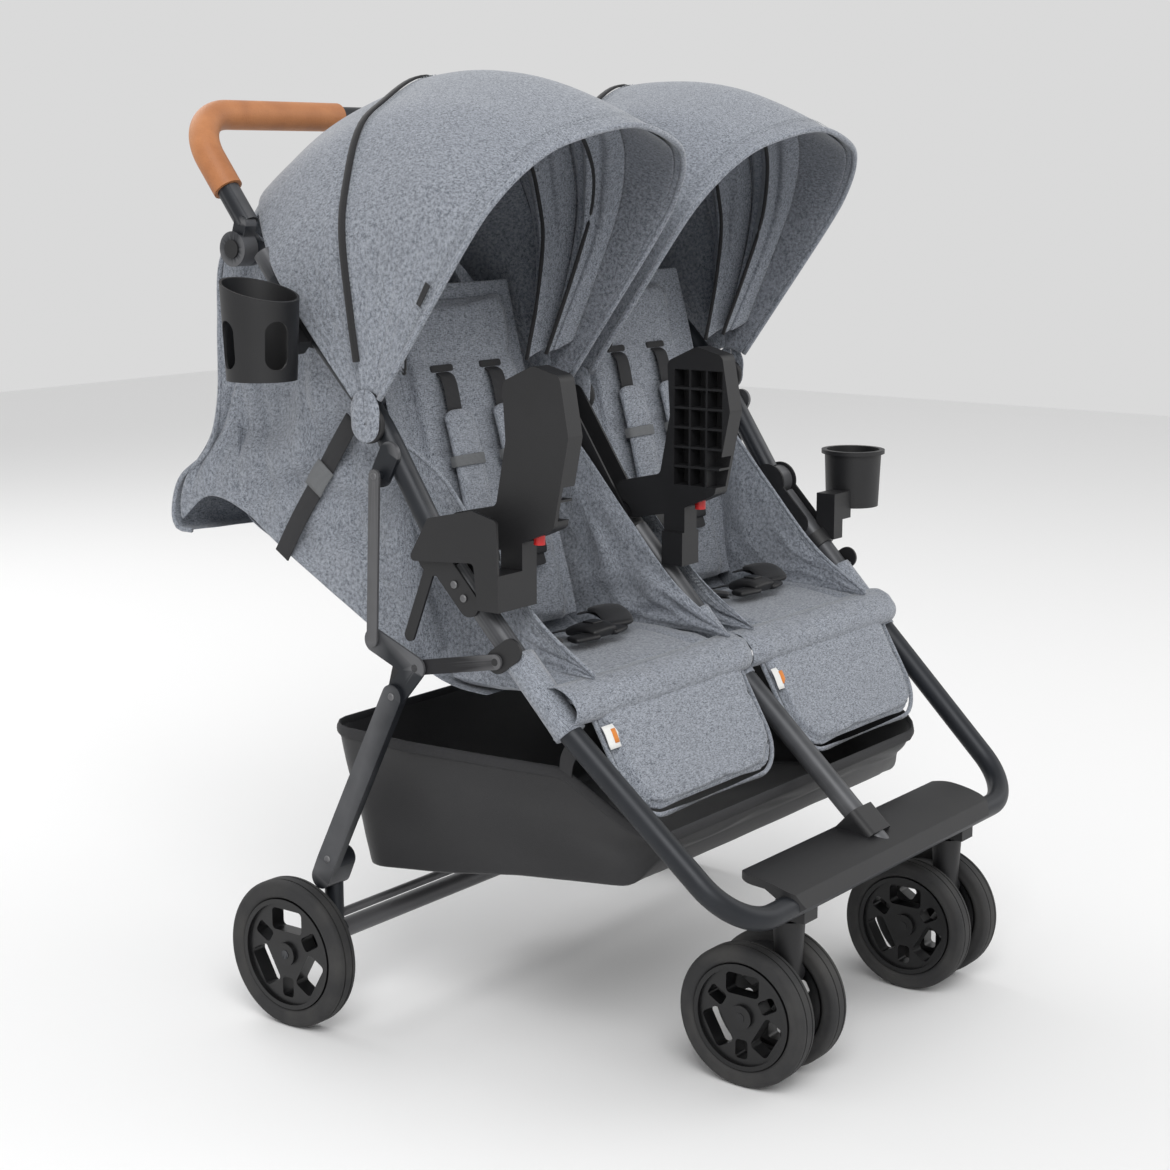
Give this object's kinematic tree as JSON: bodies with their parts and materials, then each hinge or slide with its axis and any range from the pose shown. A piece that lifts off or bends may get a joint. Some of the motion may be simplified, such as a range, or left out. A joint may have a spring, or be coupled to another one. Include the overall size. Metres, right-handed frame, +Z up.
{
  "type": "side-by-side twin stroller",
  "caption": "Folding side-by-side twin stroller with hinged canopies, reclining seats, swivel front wheels, cup holders and car seat adapters.",
  "frame": {"origin": "on the ground below the middle of the stroller, at the bottom centre of its bounding box", "axes": "+X from the left seat to the right seat, +Y towards the push handle, +Z up"},
  "size_m": [0.8721, 0.8048, 1.043],
  "materials": {
    "frame": "satin powder coat",
    "plastic": "fine grain",
    "cloth": "grey heather weave",
    "basket": "plain nylon weave",
    "webbing": "ribbed webbing",
    "grip": "stitched tan sleeve",
    "tyre": "matt",
    "rim": "satin",
    "steel": "satin",
    "red": "gloss"
  },
  "bodies": {
    "front_frame": {"front_u_tube": "frame", "centre_tube": "frame", "footrest": "plastic", "caster_mounts": "plastic", "side_brackets": "plastic", "centre_hub": "plastic", "left_seat_base": "cloth", "right_seat_base": "cloth", "basket": "basket", "left_seat_hood": "cloth", "right_seat_hood": "cloth", "left_adapter": "plastic", "centre_adapter": "plastic", "child_cup_holder": "plastic", "crotch_buckles": "plastic"},
    "left_adapter_button": {"left_adapter_button": "red"},
    "centre_adapter_button": {"centre_adapter_button": "red"},
    "left_calf_flap": {"left_calf_flap": "cloth"},
    "right_calf_flap": {"right_calf_flap": "cloth"},
    "left_seat_back": {"left_seat_back": "cloth", "left_harness": "webbing"},
    "right_seat_back": {"right_seat_back": "cloth", "right_harness": "webbing"},
    "upper_frame": {"left_upper_tube": "frame", "right_upper_tube": "frame", "left_canopy_rear": "cloth", "right_canopy_rear": "cloth", "parent_cup_holder": "plastic"},
    "centre_post": {"centre_post": "plastic"},
    "handle": {"handle_bar": "frame", "left_grip": "grip", "right_grip": "grip"},
    "left_handle_button": {"left_handle_button": "plastic"},
    "right_handle_button": {"right_handle_button": "plastic"},
    "left_canopy_front": {"left_canopy_front": "cloth"},
    "right_canopy_front": {"right_canopy_front": "cloth"},
    "left_seat_bar": {"left_seat_bar": "steel"},
    "right_seat_bar": {"right_seat_bar": "steel"},
    "left_fold_link": {"left_fold_link": "steel"},
    "right_fold_link": {"right_fold_link": "steel"},
    "rear_legs": {"left_rear_leg": "frame", "right_rear_leg": "frame", "rear_cross_tubes": "steel"},
    "brake_pedal": {"brake_pedal": "plastic"},
    "left_caster": {"left_caster_fork": "plastic"},
    "right_caster": {"right_caster_fork": "plastic"},
    "left_outer_front_wheel": {"left_outer_front_tyre": "tyre", "left_outer_front_rim": "rim"},
    "left_inner_front_wheel": {"left_inner_front_tyre": "tyre", "left_inner_front_rim": "rim"},
    "right_inner_front_wheel": {"right_inner_front_tyre": "tyre", "right_inner_front_rim": "rim"},
    "right_outer_front_wheel": {"right_outer_front_tyre": "tyre", "right_outer_front_rim": "rim"},
    "left_rear_wheel": {"left_rear_tyre": "tyre", "left_rear_rim": "rim"},
    "right_rear_wheel": {"right_rear_tyre": "tyre", "right_rear_rim": "rim"}
  },
  "joints": [
    {"name": "frame_fold", "type": "hinge", "parent": "front_frame", "child": "upper_frame", "pos_m": [0, -0.022, 0.549], "axis": [1, 0, 0], "range_deg": [0, 105], "deforming": ["left_seat_hood", "right_seat_hood"]},
    {"name": "centre_post_fold", "type": "hinge", "parent": "front_frame", "child": "centre_post", "pos_m": [0, -0.022, 0.549], "axis": [1, 0, 0], "range_deg": [0, 105]},
    {"name": "left_seat_bar_fold", "type": "hinge", "parent": "front_frame", "child": "left_seat_bar", "pos_m": [-0.343, -0.104, 0.446], "axis": [1, 0, 0], "range_deg": [0, 48.46]},
    {"name": "left_fold_link_swing", "type": "hinge", "parent": "upper_frame", "child": "left_fold_link", "pos_m": [-0.35, 0.05, 0.625], "axis": [1, 0, 0], "range_deg": [-52.09, 0]},
    {"name": "right_seat_bar_fold", "type": "hinge", "parent": "front_frame", "child": "right_seat_bar", "pos_m": [0.343, -0.104, 0.446], "axis": [1, 0, 0], "range_deg": [0, 48.46]},
    {"name": "right_fold_link_swing", "type": "hinge", "parent": "upper_frame", "child": "right_fold_link", "pos_m": [0.35, 0.05, 0.625], "axis": [1, 0, 0], "range_deg": [-52.09, 0]},
    {"name": "rear_legs_fold", "type": "hinge", "parent": "left_seat_bar", "child": "rear_legs", "pos_m": [-0.3465, 0.001, 0.426], "axis": [1, 0, 0], "range_deg": [-83.17, 0]},
    {"name": "handle_fold", "type": "hinge", "parent": "upper_frame", "child": "handle", "pos_m": [0, 0.258, 0.854], "axis": [-1, 0, 0], "range_deg": [0, 75]},
    {"name": "left_handle_button_press", "type": "slide", "parent": "handle", "child": "left_handle_button", "axis": [1, 0, 0], "range_m": [0, 0.0025], "stiffness_N_per_m": 400},
    {"name": "right_handle_button_press", "type": "slide", "parent": "handle", "child": "right_handle_button", "axis": [-1, 0, 0], "range_m": [0, 0.0025], "stiffness_N_per_m": 400},
    {"name": "left_canopy_fold", "type": "hinge", "parent": "upper_frame", "child": "left_canopy_front", "pos_m": [-0.184, 0.062, 0.678], "axis": [-1, 0, 0], "range_deg": [0, 30]},
    {"name": "right_canopy_fold", "type": "hinge", "parent": "upper_frame", "child": "right_canopy_front", "pos_m": [0.184, 0.062, 0.678], "axis": [-1, 0, 0], "range_deg": [0, 30]},
    {"name": "left_recline", "type": "hinge", "parent": "front_frame", "child": "left_seat_back", "pos_m": [-0.1625, 0.0135, 0.4285], "axis": [-1, 0, 0], "range_deg": [0, 34]},
    {"name": "right_recline", "type": "hinge", "parent": "front_frame", "child": "right_seat_back", "pos_m": [0.1625, 0.0135, 0.4285], "axis": [-1, 0, 0], "range_deg": [0, 34]},
    {"name": "left_calf_flap_lift", "type": "hinge", "parent": "front_frame", "child": "left_calf_flap", "pos_m": [-0.1605, -0.192, 0.397], "axis": [-1, 0, 0], "range_deg": [0, 65]},
    {"name": "right_calf_flap_lift", "type": "hinge", "parent": "front_frame", "child": "right_calf_flap", "pos_m": [0.1605, -0.192, 0.397], "axis": [-1, 0, 0], "range_deg": [0, 65]},
    {"name": "left_caster_swivel", "type": "hinge", "parent": "front_frame", "child": "left_caster", "pos_m": [-0.175, -0.356, 0.184], "axis": [0, 0, 1], "continuous": true},
    {"name": "right_caster_swivel", "type": "hinge", "parent": "front_frame", "child": "right_caster", "pos_m": [0.175, -0.356, 0.184], "axis": [0, 0, 1], "continuous": true},
    {"name": "left_outer_front_wheel_spin", "type": "hinge", "parent": "left_caster", "child": "left_outer_front_wheel", "pos_m": [-0.2075, -0.326, 0.0764], "axis": [1, 0, 0], "continuous": true},
    {"name": "left_inner_front_wheel_spin", "type": "hinge", "parent": "left_caster", "child": "left_inner_front_wheel", "pos_m": [-0.1425, -0.326, 0.0764], "axis": [1, 0, 0], "continuous": true},
    {"name": "right_inner_front_wheel_spin", "type": "hinge", "parent": "right_caster", "child": "right_inner_front_wheel", "pos_m": [0.1425, -0.326, 0.0764], "axis": [1, 0, 0], "continuous": true},
    {"name": "right_outer_front_wheel_spin", "type": "hinge", "parent": "right_caster", "child": "right_outer_front_wheel", "pos_m": [0.2075, -0.326, 0.0764], "axis": [1, 0, 0], "continuous": true},
    {"name": "left_rear_wheel_spin", "type": "hinge", "parent": "rear_legs", "child": "left_rear_wheel", "pos_m": [-0.367, 0.1685, 0.084], "axis": [1, 0, 0], "continuous": true},
    {"name": "right_rear_wheel_spin", "type": "hinge", "parent": "rear_legs", "child": "right_rear_wheel", "pos_m": [0.367, 0.1685, 0.084], "axis": [1, 0, 0], "continuous": true},
    {"name": "brake_pedal_press", "type": "hinge", "parent": "rear_legs", "child": "brake_pedal", "pos_m": [0, 0.141, 0.121], "axis": [-1, 0, 0], "range_deg": [0, 12]},
    {"name": "left_adapter_button_press", "type": "slide", "parent": "front_frame", "child": "left_adapter_button", "axis": [0, 0, 1], "range_m": [0, 0.002], "stiffness_N_per_m": 400},
    {"name": "centre_adapter_button_press", "type": "slide", "parent": "front_frame", "child": "centre_adapter_button", "axis": [0, 0, 1], "range_m": [0, 0.002], "stiffness_N_per_m": 400}
  ],
  "couplings": [
    {"joint": "centre_post_fold", "follows": "frame_fold", "ratio": 1},
    {"joint": "left_seat_bar_fold", "follows": "frame_fold", "ratio": 0.4615},
    {"joint": "left_fold_link_swing", "follows": "frame_fold", "ratio": -0.496},
    {"joint": "right_seat_bar_fold", "follows": "frame_fold", "ratio": 0.4615},
    {"joint": "right_fold_link_swing", "follows": "frame_fold", "ratio": -0.496},
    {"joint": "rear_legs_fold", "follows": "frame_fold", "ratio": -0.792}
  ]
}
